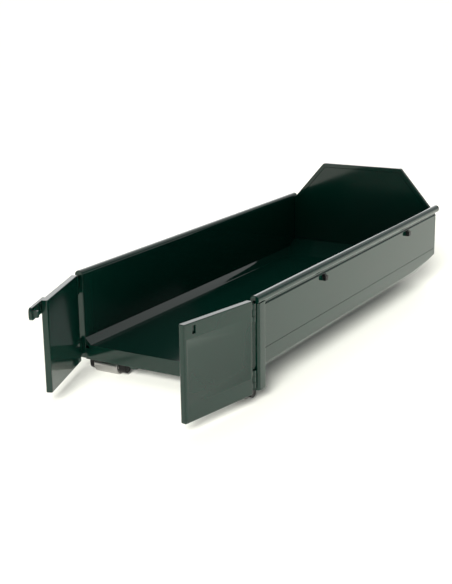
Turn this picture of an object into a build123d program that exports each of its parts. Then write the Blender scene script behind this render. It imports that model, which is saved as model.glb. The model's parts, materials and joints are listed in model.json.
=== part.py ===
"""Roll-off container, 1:32 scale model: tub, two swinging rear doors, rollers and hook frame.

Millimetres. +X runs from the rear doors to the hook end, +Y to the left, +Z up, ground at Z = 0.
"""
from build123d import *
from math import atan2, cos, hypot, sin, radians, tan
import os

# Driving sizes of the tub
body_length = 181.0          # rear face of the posts to front face of the front wall
body_width = 80.0            # over the top rails
rail_top = 40.2              # crown of the top rails above ground
peak_rise = 16.7             # front wall's top above the rails
peak_width = 41.0            # level stretch of the front wall's top
floor_top = 10.9
floor_thick = 1.3
wall_thick = 2.0
wall_inset = 1.5             # wall's outer face inside the rails' outer line
chamfer_rise = 2.7           # inner height of the sloped strip between floor and wall
crease_height = 19.3
crease_width = 0.4
crease_depth = 0.15

# Front end
bevel_run = 12.0             # length of the sloped strip between floor and front wall
bevel_rise = 5.7
taper_run = 31.0             # stretch over which the wall's lower edge climbs to the front
front_thick = 2.0
rim_width = 2.0
rim_proud = 0.1

# Top rails
web_height = 3.25            # rail's web below the bead's centre
groove_depth = 0.45          # rail's web behind the wall's outer face, ahead of the posts
rail_overhang = 0.5

# Rear frame
post_depth = 5.5
post_bottom = 5.3
post_round = 1.1
post_drop = 1.05             # post's head below the bead's centre
sill_thick = 1.0
sill_bottom = 5.0

# Doors
door_bottom = 5.0
door_below_rail = 1.0        # door's top below the rails' crown
door_thick = 2.4
door_meeting = 1.4           # free edge to the middle, door closed
door_round = 0.6
hinge_in = 1.6               # hinge axis inside the rails' outer line
door_gap = 0.25              # between a closed door and the posts
right_swing = 80.2           # opening angles at rest
left_swing = 69.6
pan_margin = 1.4             # flat frame left around the recessed pan
pan_foot = 6.2               # door's bottom to the pan
pan_head = 5.4               # pan to the door's top
pan_slope = 1.9
pan_slope_ends = 4.5
pan_depth = 1.2

# Hinges
knuckle_radius = 1.0
knuckle_height = 2.0
post_knuckle_height = 2.2
knuckle_gap = 0.15
leaf_gap = 0.55              # between the knuckles and the leaf's edge
pin_radius = 0.5
pin_clearance = 0.05
pin_end = 0.2
lug_thick = 1.2
lower_hinge_rise = 5.15      # hinge's middle above the door's bottom
upper_hinge_drop = 4.6       # hinge's middle below the door's top

# Latch
arm_height = 4.5
arm_drop = 0.3               # arm below the door's top
arm_thick = 1.2
arm_overlap = 6.6            # on its own door
arm_relief = 0.15            # kept clear of the other door's face
arm_tip = 1.55               # beyond the nub's centre
arm_round = 1.4
nub_size = (1.1, 2.3)
nub_depth = 1.9
slot_clearance = 0.25
slot_inset = 5.05            # slot's centre inside the free edge
rivet_radius = 0.45
rivet_proud = 0.3

# Underframe
runner_out = 16.6            # outer face of the runners
runner_width = 3.1
runner_height = 5.6
runner_flange = 0.8
runner_web = 0.9
skid_length = 12.0           # solid foot that ends each runner
skid_nose = 2.5
cross_width = 2.0
cross_height = 1.6
cross_count = 8
cross_inset = 3.0            # cross members' ends inside the floor's outer edge

# Rollers
roller_radius = 3.0
bracket_clear = 2.7          # runner to bracket
bracket_inset = 0.8          # bracket inside the wall's inner face
roller_axis = 3.5            # ahead of the posts' rear face
roller_play = 0.3
roller_chamfer = 0.35
axle_radius = 1.0
axle_clearance = 0.05
ear_inner = 2.9
ear_outer = 2.0
ear_radius = 2.1
plate_thick = 1.2
plate_length = 7.6

# Hook frame
hook_height = 49.0
hook_bar_radius = 0.95
hook_gap = 4.8               # clear space between bar and legs
leg_depth = 2.4
leg_width = 3.1
leg_knee = 42.0
leg_top = 53.0
leg_half_gap = 5.6           # half the clear width between the upper legs
plate_width = 1.4
plate_bottom = 44.0
plate_nose = 1.6
tie_height = 3.0
tie_level = 26.0

# Rope hooks
rope_hook_stations = (55.25, 143.25)
rope_hook_length = 2.3
rope_hook_height = 2.4
rope_hook_base = 0.8
rope_hook_lip = 0.4
rope_hook_shelf = 0.7

# Worked-out sizes
half_width = body_width / 2
wall_out = half_width - wall_inset
wall_in = wall_out - wall_thick
floor_bottom = floor_top - floor_thick
wall_bottom = floor_top + chamfer_rise
floor_half = wall_in - chamfer_rise
floor_half_out = wall_out - (wall_bottom - floor_bottom)
runner_bottom = floor_bottom - runner_height
bead_radius = (half_width - wall_in) / 2
bead_y = half_width - bead_radius
bead_z = rail_top - bead_radius
web_bottom = bead_z - web_height
post_head = bead_z - post_drop
hinge_y = half_width - hinge_in
cross_reach = floor_half_out - cross_inset
front_peak = rail_top + peak_rise
door_top = rail_top - door_below_rail
door_width = hinge_y - door_meeting
pan_bottom = door_bottom + pan_foot
pan_top = door_top - pan_head
hinge_centres = (door_bottom + lower_hinge_rise, door_top - upper_hinge_drop)
arm_top = door_top - arm_drop
arm_bottom = arm_top - arm_height
arm_middle = (arm_bottom + arm_top) / 2
ear_in = runner_out + bracket_clear
ear_out = wall_in - bracket_inset
roller_in = ear_in + ear_inner + roller_play
roller_out = ear_out - ear_outer - roller_play
roller_length = roller_out - roller_in
half_door = door_thick / 2
hinge_back = max(half_door + door_gap, knuckle_radius + knuckle_gap)
knuckle_reach = knuckle_radius + leaf_gap
slot_u = door_width - slot_inset
nub_u = 2 * hinge_y - slot_u
arm_end = nub_u + arm_tip
hook_reach = leg_depth + hook_gap + hook_bar_radius + plate_nose
rear_reach = hinge_back + arm_end * sin(radians(left_swing))
rear_reach += (half_door + arm_thick) * cos(radians(left_swing))

# Stations along X: the origin is in the middle of the whole length
rear_x = (rear_reach - body_length - hook_reach) / 2
front_x = rear_x + body_length
wall_front_x = front_x - front_thick
hinge_x = rear_x - hinge_back
leg_front_x = front_x + leg_depth
skid_x = leg_front_x - skid_length
bar_x = leg_front_x + hook_gap + hook_bar_radius
axle_x = rear_x + roller_axis
bevel_x = wall_front_x - bevel_run
bevel_top = floor_top + bevel_rise
bevel_slope = bevel_rise / bevel_run
bevel_drop = floor_thick * hypot(1, bevel_slope)
front_bottom = bevel_top + bevel_slope * front_thick - bevel_drop
bevel_out_x = bevel_x + (bevel_drop - floor_thick) / bevel_slope

os.makedirs("parts", exist_ok=True)


def save(piece, name):
    """Label a finished piece and write its file."""
    piece.part.label = name
    export_step(piece.part, f"parts/{name}.step")


def upright(side, inner, outer):
    """XZ plane on the +Y face of a slab between two distances from the middle."""
    return Plane.XZ.offset(-max(side * inner, side * outer))


def bevel_plane():
    """Underside of the sloped strip at the front, facing up."""
    return Plane(origin=(bevel_out_x, 0, floor_bottom), z_dir=(-bevel_slope, 0, 1))


def taper_plane(side):
    """Plane that lifts the lower outer edge towards the front, facing inwards and up."""
    back = Vector(front_x - taper_run, side * wall_out, wall_bottom)
    tip = Vector(front_x, side * wall_out, front_bottom)
    under = Vector(bevel_out_x, side * floor_half_out, floor_bottom)
    normal = (tip - back).cross(under - back) * -side
    return Plane(origin=back, z_dir=normal)


def leaf_plane(side, swing, outward):
    """Plane of a door leaf: local X from the hinge to the free edge, local Y up."""
    along = Vector(-sin(radians(swing)), -side * cos(radians(swing)), 0)
    out = Vector(-cos(radians(swing)), side * sin(radians(swing)), 0)
    origin = Vector(hinge_x, side * hinge_y, 0) + out * outward
    return Plane(origin=origin, x_dir=along, z_dir=out * side)


def turn(side, swing):
    """Direction of a door leaf about +Z, in degrees."""
    return -90 - swing if side > 0 else 90 + swing


# Floor pan: floor, sloped side strips and sloped front strip
with BuildPart() as floor_pan:
    with BuildSketch(Plane.XZ):
        with BuildLine():
            Polyline(
                (bevel_x, floor_bottom),
                (wall_front_x, floor_bottom),
                (wall_front_x, bevel_top),
                (bevel_x, floor_top),
                close=True,
            )
        make_face()
    extrude(amount=wall_in, both=True)
    with BuildSketch(Plane.YZ.offset(rear_x)):
        with BuildLine():
            Polyline(
                (-wall_out, bevel_top),
                (-wall_out, wall_bottom),
                (-floor_half_out, floor_bottom),
                (floor_half_out, floor_bottom),
                (wall_out, wall_bottom),
                (wall_out, bevel_top),
                close=True,
            )
        make_face()
    extrude(amount=wall_front_x - rear_x, mode=Mode.INTERSECT)
    with BuildSketch(Plane.YZ.offset(rear_x)):
        with BuildLine():
            Polyline(
                (-wall_out, wall_bottom),
                (-floor_half_out, floor_bottom),
                (floor_half_out, floor_bottom),
                (wall_out, wall_bottom),
                (wall_in, wall_bottom),
                (floor_half, floor_top),
                (-floor_half, floor_top),
                (-wall_in, wall_bottom),
                close=True,
            )
        make_face()
    extrude(amount=wall_front_x - rear_x)
    split(bisect_by=bevel_plane(), keep=Keep.TOP)
    for side in (1, -1):
        split(bisect_by=taper_plane(side), keep=Keep.TOP)
        with BuildSketch(Plane.XY.offset(floor_bottom)):
            with Locations((rear_x + post_depth / 2, side * (wall_in + half_width) / 2)):
                Rectangle(post_depth, half_width - wall_in)
        extrude(amount=wall_bottom - floor_bottom, mode=Mode.SUBTRACT)
save(floor_pan, "floor_pan")

# Side walls, rails, posts and rope hooks, left (+Y) then right
for side, hand in ((1, "left"), (-1, "right")):
    with BuildPart() as side_wall:
        with BuildSketch(upright(side, wall_in, wall_out)):
            with BuildLine():
                Polyline(
                    (rear_x + post_depth, wall_bottom),
                    (wall_front_x, wall_bottom),
                    (wall_front_x, web_bottom),
                    (rear_x + post_depth, web_bottom),
                    close=True,
                )
            make_face()
        extrude(amount=wall_thick)
        with BuildSketch(Plane.YZ.offset(rear_x + post_depth)):
            with Locations((side * wall_out, crease_height)):
                Rectangle(2 * crease_depth, crease_width)
        extrude(amount=body_length, mode=Mode.SUBTRACT)
        split(bisect_by=bevel_plane(), keep=Keep.TOP)
        split(bisect_by=taper_plane(side), keep=Keep.TOP)
    save(side_wall, f"{hand}_side_wall")

    with BuildPart() as top_rail:
        with BuildSketch(Plane.YZ.offset(rear_x)):
            with Locations((side * (wall_in + wall_out) / 2, (web_bottom + bead_z) / 2)):
                Rectangle(wall_thick, web_height)
        extrude(amount=body_length + rail_overhang)
        with BuildSketch(Plane.YZ.offset(rear_x + post_depth)):
            with BuildLine():
                Polyline(
                    (side * wall_out, web_bottom),
                    (side * wall_out, bead_z),
                    (side * (wall_out - groove_depth), bead_z),
                    (side * (wall_out - groove_depth), web_bottom + groove_depth),
                    close=True,
                )
            make_face()
        extrude(amount=body_length, mode=Mode.SUBTRACT)
        with BuildSketch(Plane.YZ.offset(rear_x)):
            with Locations((side * bead_y, bead_z)):
                Circle(bead_radius)
        extrude(amount=body_length + rail_overhang)
    save(top_rail, f"{hand}_top_rail")

    with BuildPart() as rear_post:
        with BuildSketch(Plane.YZ.offset(rear_x)):
            with BuildLine():
                Polyline(
                    (side * wall_in, post_bottom),
                    (side * half_width, post_bottom),
                    (side * half_width, post_head),
                    (side * wall_out, post_head),
                    (side * wall_out, web_bottom),
                    (side * wall_in, web_bottom),
                    close=True,
                )
            make_face()
        extrude(amount=post_depth)
        outer_edges = rear_post.edges().filter_by(Axis.Z).group_by(Axis.Y)[-1 if side > 0 else 0]
        fillet(outer_edges, post_round)
        fillet(rear_post.faces().sort_by(Axis.Z)[0].edges(), post_round / 2)
        with BuildSketch(Plane.YZ.offset(rear_x)):
            with Locations((side * bead_y, bead_z)):
                Circle(bead_radius)
        extrude(amount=post_depth, mode=Mode.SUBTRACT)
    save(rear_post, f"{hand}_rear_post")

    with BuildPart() as rope_hooks:
        for station in rope_hook_stations:
            hook_x = rear_x + station - rope_hook_length / 2
            with BuildSketch(Plane.YZ.offset(hook_x)):
                with BuildLine():
                    Polyline(
                        (side * wall_out, web_bottom),
                        (side * (wall_out + rope_hook_base), web_bottom),
                        (side * (wall_out + rope_hook_base), web_bottom - rope_hook_height + rope_hook_shelf),
                        (side * (half_width - rope_hook_lip), web_bottom - rope_hook_height + rope_hook_shelf),
                        (side * (half_width - rope_hook_lip), web_bottom - rope_hook_shelf / 2),
                        (side * half_width, web_bottom - rope_hook_shelf / 2),
                        (side * half_width, web_bottom - rope_hook_height),
                        (side * wall_out, web_bottom - rope_hook_height),
                        close=True,
                    )
                make_face()
            extrude(amount=rope_hook_length)
    save(rope_hooks, f"{hand}_rope_hooks")

# Rear sill between the posts
with BuildPart() as rear_sill:
    with BuildSketch(Plane.XY.offset(sill_bottom)):
        with Locations((rear_x, 0)):
            Rectangle(sill_thick, 2 * wall_in, align=(Align.MIN, Align.CENTER))
    extrude(amount=floor_bottom - sill_bottom)
save(rear_sill, "rear_sill")

# Front wall and the three bars of its rim
slope_angle = atan2(front_peak - bead_z, wall_in - peak_width / 2)
rim_side = rim_width / sin(slope_angle)
inner_peak = peak_width / 2 - rim_width * tan(slope_angle / 2)
with BuildPart() as front_wall:
    with BuildSketch(Plane.YZ.offset(wall_front_x)):
        with BuildLine():
            Polyline(
                (-wall_out, wall_bottom),
                (wall_out, wall_bottom),
                (wall_out, web_bottom),
                (wall_in, web_bottom),
                (wall_in, bead_z),
                (wall_in - rim_side, bead_z),
                (inner_peak, front_peak - rim_width),
                (-inner_peak, front_peak - rim_width),
                (-wall_in + rim_side, bead_z),
                (-wall_in, bead_z),
                (-wall_in, web_bottom),
                (-wall_out, web_bottom),
                close=True,
            )
        make_face()
    extrude(amount=front_thick)
    split(bisect_by=bevel_plane(), keep=Keep.TOP)
    for side in (1, -1):
        split(bisect_by=taper_plane(side), keep=Keep.TOP)
save(front_wall, "front_wall")

with BuildPart() as rim_top:
    with BuildSketch(Plane.YZ.offset(wall_front_x - rim_proud)):
        with BuildLine():
            Polyline(
                (-peak_width / 2, front_peak),
                (peak_width / 2, front_peak),
                (inner_peak, front_peak - rim_width),
                (-inner_peak, front_peak - rim_width),
                close=True,
            )
        make_face()
    extrude(amount=front_thick + rim_proud)
save(rim_top, "front_rim_top")

for side, hand in ((1, "left"), (-1, "right")):
    with BuildPart() as rim_slope:
        with BuildSketch(Plane.YZ.offset(wall_front_x - rim_proud)):
            with BuildLine():
                Polyline(
                    (side * peak_width / 2, front_peak),
                    (side * wall_in, bead_z),
                    (side * (wall_in - rim_side), bead_z),
                    (side * inner_peak, front_peak - rim_width),
                    close=True,
                )
            make_face()
        extrude(amount=front_thick + rim_proud)
    save(rim_slope, f"front_rim_{hand}")

# Underframe: runners, front skids and cross members
for side, hand in ((1, "left"), (-1, "right")):
    runner_y = side * (runner_out - runner_width / 2)
    with BuildPart() as runner:
        with BuildSketch(Plane.YZ.offset(rear_x + sill_thick)):
            with Locations((runner_y, (runner_bottom + floor_bottom) / 2)):
                Rectangle(runner_width, runner_height)
                Rectangle(runner_width, runner_height - 2 * runner_flange, mode=Mode.SUBTRACT)
                Rectangle(runner_web, runner_height)
        extrude(amount=skid_x - rear_x - sill_thick)
    save(runner, f"{hand}_runner")
    with BuildPart() as skid:
        with BuildSketch(upright(side, runner_out - runner_width, runner_out)):
            with BuildLine():
                Polyline(
                    (skid_x, 0),
                    (leg_front_x - skid_nose, 0),
                    (leg_front_x, skid_nose),
                    (leg_front_x, floor_bottom),
                    (skid_x, floor_bottom),
                    close=True,
                )
            make_face()
        extrude(amount=runner_width)
    save(skid, f"{hand}_front_skid")

cross_first = rear_x + sill_thick + plate_length + cross_width
cross_last = bevel_out_x - cross_width
cross_pitch = (cross_last - cross_first) / (cross_count - 1)
with BuildPart() as cross_members:
    with BuildSketch(Plane.XY.offset(floor_bottom - cross_height)):
        for number in range(cross_count):
            cross_x = cross_first + number * cross_pitch
            with Locations((cross_x, 0)):
                Rectangle(cross_width, 2 * (runner_out - runner_width))
            for side in (1, -1):
                with Locations((cross_x, side * (cross_reach + runner_out) / 2)):
                    Rectangle(cross_width, cross_reach - runner_out)
    extrude(amount=cross_height)
save(cross_members, "cross_members")

# Rear rollers with their axles and brackets
for side, hand in ((1, "left"), (-1, "right")):
    with BuildPart() as bracket:
        with BuildSketch(upright(side, ear_in, ear_out)):
            with BuildLine():
                Polyline(
                    (rear_x + sill_thick, floor_bottom),
                    (rear_x + sill_thick + plate_length, floor_bottom),
                    (axle_x + ear_radius, roller_radius),
                    (axle_x - ear_radius, roller_radius),
                    (rear_x + sill_thick, floor_bottom - plate_thick),
                    close=True,
                )
            make_face()
            with Locations((axle_x, roller_radius)):
                Circle(ear_radius)
        extrude(amount=ear_out - ear_in)
        with BuildSketch(upright(side, roller_in - roller_play, roller_out + roller_play)):
            with Locations((axle_x, (floor_bottom - plate_thick) / 2)):
                Rectangle(2 * body_width, floor_bottom - plate_thick)
        extrude(amount=roller_length + 2 * roller_play, mode=Mode.SUBTRACT)
        with BuildSketch(upright(side, ear_in, ear_out)):
            with Locations((axle_x, roller_radius)):
                Circle(axle_radius)
        extrude(amount=ear_out - ear_in, mode=Mode.SUBTRACT)
    save(bracket, f"{hand}_roller_bracket")

    with BuildPart() as axle:
        with BuildSketch(upright(side, ear_in, ear_out)):
            with Locations((axle_x, roller_radius)):
                Circle(axle_radius)
        extrude(amount=ear_out - ear_in)
    save(axle, f"{hand}_roller_axle")

    with BuildPart() as roller:
        with BuildSketch(upright(side, roller_in, roller_out)):
            with Locations((axle_x, roller_radius)):
                Circle(roller_radius)
        extrude(amount=roller_length)
        chamfer(roller.edges().filter_by(GeomType.CIRCLE), roller_chamfer)
        with BuildSketch(upright(side, roller_in, roller_out)):
            with Locations((axle_x, roller_radius)):
                Circle(axle_radius + axle_clearance)
        extrude(amount=roller_length, mode=Mode.SUBTRACT)
    save(roller, f"{hand}_roller")

# Hook frame on the front wall: two legs, two ties, two cheek plates and the bar
knee_fall = (runner_out - runner_width - leg_half_gap) / (leg_knee - floor_bottom)


def leg_inside(height):
    """Inner face of a leg at a height, from the middle."""
    return leg_half_gap + max(0, leg_knee - height) * knee_fall


for side, hand in ((1, "left"), (-1, "right")):
    with BuildPart() as hook_leg:
        with BuildSketch(Plane.YZ.offset(front_x)):
            with BuildLine():
                Polyline(
                    (side * runner_out, floor_bottom),
                    (side * (runner_out - runner_width), floor_bottom),
                    (side * leg_half_gap, leg_knee),
                    (side * leg_half_gap, leg_top),
                    (side * (leg_half_gap + leg_width), leg_top),
                    (side * (leg_half_gap + leg_width), leg_knee),
                    close=True,
                )
            make_face()
        extrude(amount=leg_depth)
    save(hook_leg, f"{hand}_hook_leg")

    with BuildPart() as cheek:
        with BuildSketch(upright(side, leg_half_gap, leg_half_gap + plate_width)):
            with BuildLine():
                Polyline(
                    (leg_front_x, plate_bottom),
                    (bar_x, hook_height - plate_nose),
                    (bar_x, hook_height + plate_nose),
                    (leg_front_x, leg_top),
                    close=True,
                )
            make_face()
            with Locations((bar_x, hook_height)):
                Circle(plate_nose)
                Circle(hook_bar_radius, mode=Mode.SUBTRACT)
        extrude(amount=plate_width)
    save(cheek, f"{hand}_hook_cheek")

with BuildPart() as hook_ties:
    with BuildSketch(Plane.YZ.offset(front_x)):
        for low in (tie_level, leg_top - tie_height):
            high = low + tie_height
            with BuildLine():
                Polyline(
                    (-leg_inside(low), low),
                    (leg_inside(low), low),
                    (leg_inside(high), high),
                    (-leg_inside(high), high),
                    close=True,
                )
            make_face()
    extrude(amount=leg_depth)
save(hook_ties, "hook_ties")

with BuildPart() as hook_bar:
    with BuildSketch(Plane.XZ.offset(-leg_half_gap - plate_width)):
        with Locations((bar_x, hook_height)):
            Circle(hook_bar_radius)
    extrude(amount=2 * (leg_half_gap + plate_width))
save(hook_bar, "hook_bar")

# Hinges: each has a post knuckle between two door knuckles, on one pin
post_half = post_knuckle_height / 2
door_near = post_half + knuckle_gap
door_far = door_near + knuckle_height
for side, hand, swing in ((1, "left", left_swing), (-1, "right", right_swing)):
    with BuildPart() as post_knuckles:
        for centre in hinge_centres:
            with BuildSketch(Plane.XY.offset(centre - post_half)):
                with Locations((hinge_x, side * hinge_y)):
                    Circle(knuckle_radius)
                    Rectangle(hinge_back, lug_thick, align=(Align.MIN, Align.CENTER))
                    Circle(pin_radius, mode=Mode.SUBTRACT)
            extrude(amount=post_knuckle_height)
    save(post_knuckles, f"{hand}_post_knuckles")

    with BuildPart() as door_knuckles:
        for centre in hinge_centres:
            for start in (centre + door_near, centre - door_far):
                with BuildSketch(Plane.XY.offset(start)):
                    with Locations((hinge_x, side * hinge_y)):
                        Circle(knuckle_radius)
                    with Locations(Location((hinge_x, side * hinge_y, 0), (0, 0, turn(side, swing)))):
                        Rectangle(knuckle_reach, lug_thick, align=(Align.MIN, Align.CENTER))
                    with Locations((hinge_x, side * hinge_y)):
                        Circle(pin_radius + pin_clearance, mode=Mode.SUBTRACT)
                extrude(amount=knuckle_height)
    save(door_knuckles, f"{hand}_door_knuckles")

    with BuildPart() as hinge_pins:
        for centre in hinge_centres:
            with BuildSketch(Plane.XY.offset(centre - door_far - pin_end)):
                with Locations((hinge_x, side * hinge_y)):
                    Circle(pin_radius)
            extrude(amount=2 * (door_far + pin_end))
        chamfer(hinge_pins.edges().filter_by(GeomType.CIRCLE), pin_end)
    save(hinge_pins, f"{hand}_hinge_pins")

    # Door leaf with its recessed pan, cut back from the hinge
    inner_face = leaf_plane(side, swing, -half_door)
    outer_face = leaf_plane(side, swing, half_door)
    pan_floor = leaf_plane(side, swing, half_door - pan_depth)
    leaf_middle = (knuckle_reach + door_width) / 2
    pan_length = door_width - knuckle_reach - 2 * pan_margin
    pan_middle = (pan_bottom + pan_top) / 2
    with BuildPart() as door_panel:
        with BuildSketch(inner_face):
            with Locations((leaf_middle, (door_bottom + door_top) / 2)):
                Rectangle(door_width - knuckle_reach, door_top - door_bottom)
        extrude(amount=side * door_thick)
        fillet(door_panel.edges().filter_by(Axis.Z), door_round)
        with BuildSketch(outer_face):
            with Locations((leaf_middle, pan_middle)):
                Rectangle(pan_length, pan_top - pan_bottom)
        with BuildSketch(pan_floor):
            with Locations((leaf_middle, pan_middle)):
                Rectangle(pan_length - 2 * pan_slope, pan_top - pan_bottom - 2 * pan_slope_ends)
        loft(mode=Mode.SUBTRACT)
        if side < 0:
            with BuildSketch(inner_face):
                with Locations((slot_u, arm_middle)):
                    Rectangle(nub_size[0] + 2 * slot_clearance, nub_size[1] + 2 * slot_clearance)
            extrude(amount=side * door_thick, mode=Mode.SUBTRACT)
    save(door_panel, f"{hand}_door_panel")

# Latch arm on the left door, its nub and its rivets
arm_face = leaf_plane(1, left_swing, half_door)
arm_start = door_width - arm_overlap
with BuildPart() as latch_arm:
    with BuildSketch(arm_face):
        with Locations(((arm_start + arm_end) / 2, arm_middle)):
            RectangleRounded(arm_end - arm_start, arm_top - arm_bottom, arm_round)
    extrude(amount=arm_thick)
    with BuildSketch(arm_face):
        with Locations((door_width, arm_middle)):
            Rectangle(arm_end, arm_top - arm_bottom, align=(Align.MIN, Align.CENTER))
    extrude(amount=arm_relief, mode=Mode.SUBTRACT)
    with BuildSketch(leaf_plane(1, left_swing, half_door + arm_relief)):
        with Locations((nub_u, arm_middle)):
            Rectangle(*nub_size)
    extrude(amount=-nub_depth - arm_relief)
save(latch_arm, "latch_arm")

with BuildPart() as latch_rivets:
    with BuildSketch(leaf_plane(1, left_swing, half_door + arm_thick)):
        with Locations((arm_start + arm_overlap / 4, arm_middle), (door_width - arm_overlap / 4, arm_middle)):
            Circle(rivet_radius)
    extrude(amount=rivet_proud)
save(latch_rivets, "latch_rivets")
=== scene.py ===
"""Roll-off container, 1:32 scale model: tub, rear doors, rollers and hook frame around their CAD frame.

Metres. +X runs from the rear doors to the hook end, +Y to the left, +Z up, ground at Z = 0.
"""

import json
from math import atan2, cos, pi, radians, sin, sqrt

import bmesh
import bpy
from bpy.props import FloatProperty, FloatVectorProperty, IntProperty, PointerProperty
from mathutils import Matrix, Vector


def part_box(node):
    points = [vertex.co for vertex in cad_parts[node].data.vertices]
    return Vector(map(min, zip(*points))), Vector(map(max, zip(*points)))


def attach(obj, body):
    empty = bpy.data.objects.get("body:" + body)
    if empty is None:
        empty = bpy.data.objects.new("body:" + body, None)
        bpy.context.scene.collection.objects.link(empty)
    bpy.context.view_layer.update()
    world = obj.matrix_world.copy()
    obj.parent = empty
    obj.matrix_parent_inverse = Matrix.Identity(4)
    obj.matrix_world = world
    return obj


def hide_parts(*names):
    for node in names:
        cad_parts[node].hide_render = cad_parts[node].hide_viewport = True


bl_info = {
    "name": "Roll-off Container",
    "version": (1, 0, 0),
    "blender": (4, 5, 0),
    "location": "3D View > Sidebar > Container",
    "description": "Builds the pieces, finishes and stage of a scale model roll-off container",
    "category": "Add Mesh",
}

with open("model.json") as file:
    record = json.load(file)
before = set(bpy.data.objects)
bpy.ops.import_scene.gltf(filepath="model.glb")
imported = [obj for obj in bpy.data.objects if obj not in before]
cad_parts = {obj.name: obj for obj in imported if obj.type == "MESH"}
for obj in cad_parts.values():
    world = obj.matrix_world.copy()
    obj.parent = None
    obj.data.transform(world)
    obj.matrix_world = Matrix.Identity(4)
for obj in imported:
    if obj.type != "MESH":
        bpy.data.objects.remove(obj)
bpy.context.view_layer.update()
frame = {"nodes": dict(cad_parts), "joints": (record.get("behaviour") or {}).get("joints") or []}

MM = 0.001
NEAR = 1e-6                # points closer than this are one point
X, Y, Z = range(3)
SIDES = {"left": 1, "right": -1}        # which way each side lies along Y
SHARP = radians(38)                     # edges that turn by more stay sharp in the shading

# The finish that each material slot of the part takes
FINISH_OF_SLOT = {
    "tub_paint": "Green gloss, tub",
    "frame_paint": "Green gloss, frame",
    "door_paint": "Green gloss, doors",
    "underframe_paint": "Green gloss, underframe",
    "black_fittings": "Black fittings",
    "bright_steel": "Turned bright steel",
    "dark_steel": "Burnished dark steel",
}


# ---------------------------------------------------------------- settings

def length(name, description, millimetres):
    """Setting for a length, given in millimetres and kept in metres."""
    return FloatProperty(
        name=name, description=description, default=millimetres * MM, unit="LENGTH", precision=5)


def tint(name, description, default):
    """Setting for a colour."""
    return FloatVectorProperty(
        name=name, description=description, subtype="COLOR", default=default, min=0, max=1)


def brightness(name, description, default):
    """Setting for the strength of a light or of the surroundings."""
    return FloatProperty(name=name, description=description, default=default, min=0)


def angle(name, description, degrees):
    """Setting for an angle, given in degrees."""
    return FloatProperty(name=name, description=description, subtype="ANGLE", default=radians(degrees))


class ContainerEdges(bpy.types.PropertyGroup):
    """Rounding of the pieces' edges."""

    sheet: length("Sheet", "Rounding of the tub's bent sheet", 0.35)
    bar: length("Bars", "Rounding of posts, runners and legs", 0.25)
    fitting: length("Fittings", "Rounding of small fittings", 0.12)
    post: length("Posts", "Rounding of the rear posts' outer corners", 1.1)
    steps: IntProperty(name="Steps", description="Facets across a rounded edge", default=3, min=1, max=6)


class ContainerRail(bpy.types.PropertyGroup):
    """Top rail section."""

    fillet: length("Fillet", "Rounding between bead and groove", 0.35)
    groove: length("Groove", "Depth of the groove behind the wall's outer face", 0.45)
    swell: length("Swell", "Height over which the groove comes out to the wall", 0.75)
    ends: length("Ends", "Rounding of the rail's ends", 0.16)


class ContainerDoor(bpy.types.PropertyGroup):
    """Door leaf with its recessed pan."""

    corner: length("Corner", "Rounding of the leaf's upright edges", 0.6)
    margin: length("Margin", "Flat strip beside the pan", 1.4)
    foot: length("Foot", "Flat strip below the pan", 6.2)
    head: length("Head", "Flat strip above the pan", 5.4)
    slope: length("Side slope", "Width of the pan's side slopes", 1.9)
    slope_ends: length("End slope", "Height of the pan's upper and lower slopes", 4.5)
    depth: length("Depth", "Depth of the pan", 1.2)
    soft: length("Softness", "Rounding of the pan's bends", 0.3)
    slot_width: length("Slot width", "Slot for the latch's nub", 1.6)
    slot_height: length("Slot height", "Slot for the latch's nub", 2.8)
    slot_inset: length("Slot inset", "Slot's centre inside the free edge", 5.05)
    slot_drop: length("Slot drop", "Slot's centre below the upper edge", 2.55)


class ContainerFinish(bpy.types.PropertyGroup):
    """Colours and gloss."""

    paint: tint("Paint", "Colour of the gloss paint", (0.002, 0.037, 0.025))
    paint_roughness: FloatProperty(
        name="Paint roughness", description="Blur of the paint's reflections", default=0.07, min=0, max=1)
    black: tint("Black", "Colour of the black fittings", (0.008, 0.008, 0.009))
    bright: tint("Bright steel", "Colour of the rollers", (0.42, 0.41, 0.4))
    dark: tint("Dark steel", "Colour of pins and axles", (0.05, 0.05, 0.052))


class ContainerStage(bpy.types.PropertyGroup):
    """Floor, light and camera."""

    floor: tint("Floor", "Colour of the floor", (0.82, 0.82, 0.745))
    floor_glow: brightness("Floor glow", "Light that the floor gives off", 0.05)
    sky: brightness("Sky", "Strength of the surroundings overhead", 0.14)
    horizon: brightness("Horizon", "What the surroundings gain near the floor", 0.6)
    window: brightness("Window", "What the surroundings gain ahead and above", 0.6)
    highlight: brightness("Highlight", "What the surroundings gain in the small bright screen ahead", 1.6)
    lamp: FloatProperty(
        name="Lamp", description="Power of the soft light overhead", default=1.4, min=0, unit="POWER")
    lamp_size: FloatProperty(
        name="Lamp size", description="Side of the soft light overhead", default=0.5, min=0, unit="LENGTH")
    floor_lamp: brightness("Floor lamp", "Strength of the light that falls on the floor alone", 6.7)
    floor_lamp_spread: angle("Floor lamp spread", "Angle that the floor's light takes up", 25)
    place: FloatVectorProperty(
        name="Camera", description="Place of the camera", subtype="TRANSLATION", unit="LENGTH",
        default=(-0.39603, -0.21729, 0.14470))
    heading: angle("Heading", "Camera's direction, from +X towards +Y", 30.48)
    pitch: angle("Pitch", "Camera's tilt below the horizon", 15.57)
    roll: angle("Roll", "Camera's turn about its own axis", -0.82)
    lens: FloatProperty(name="Lens", description="Focal length in millimetres", default=68.3, min=1)


SETTINGS = {
    "container_edges": ContainerEdges,
    "container_rail": ContainerRail,
    "container_door": ContainerDoor,
    "container_finish": ContainerFinish,
    "container_stage": ContainerStage,
}


# ---------------------------------------------------------------- finishes

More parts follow.
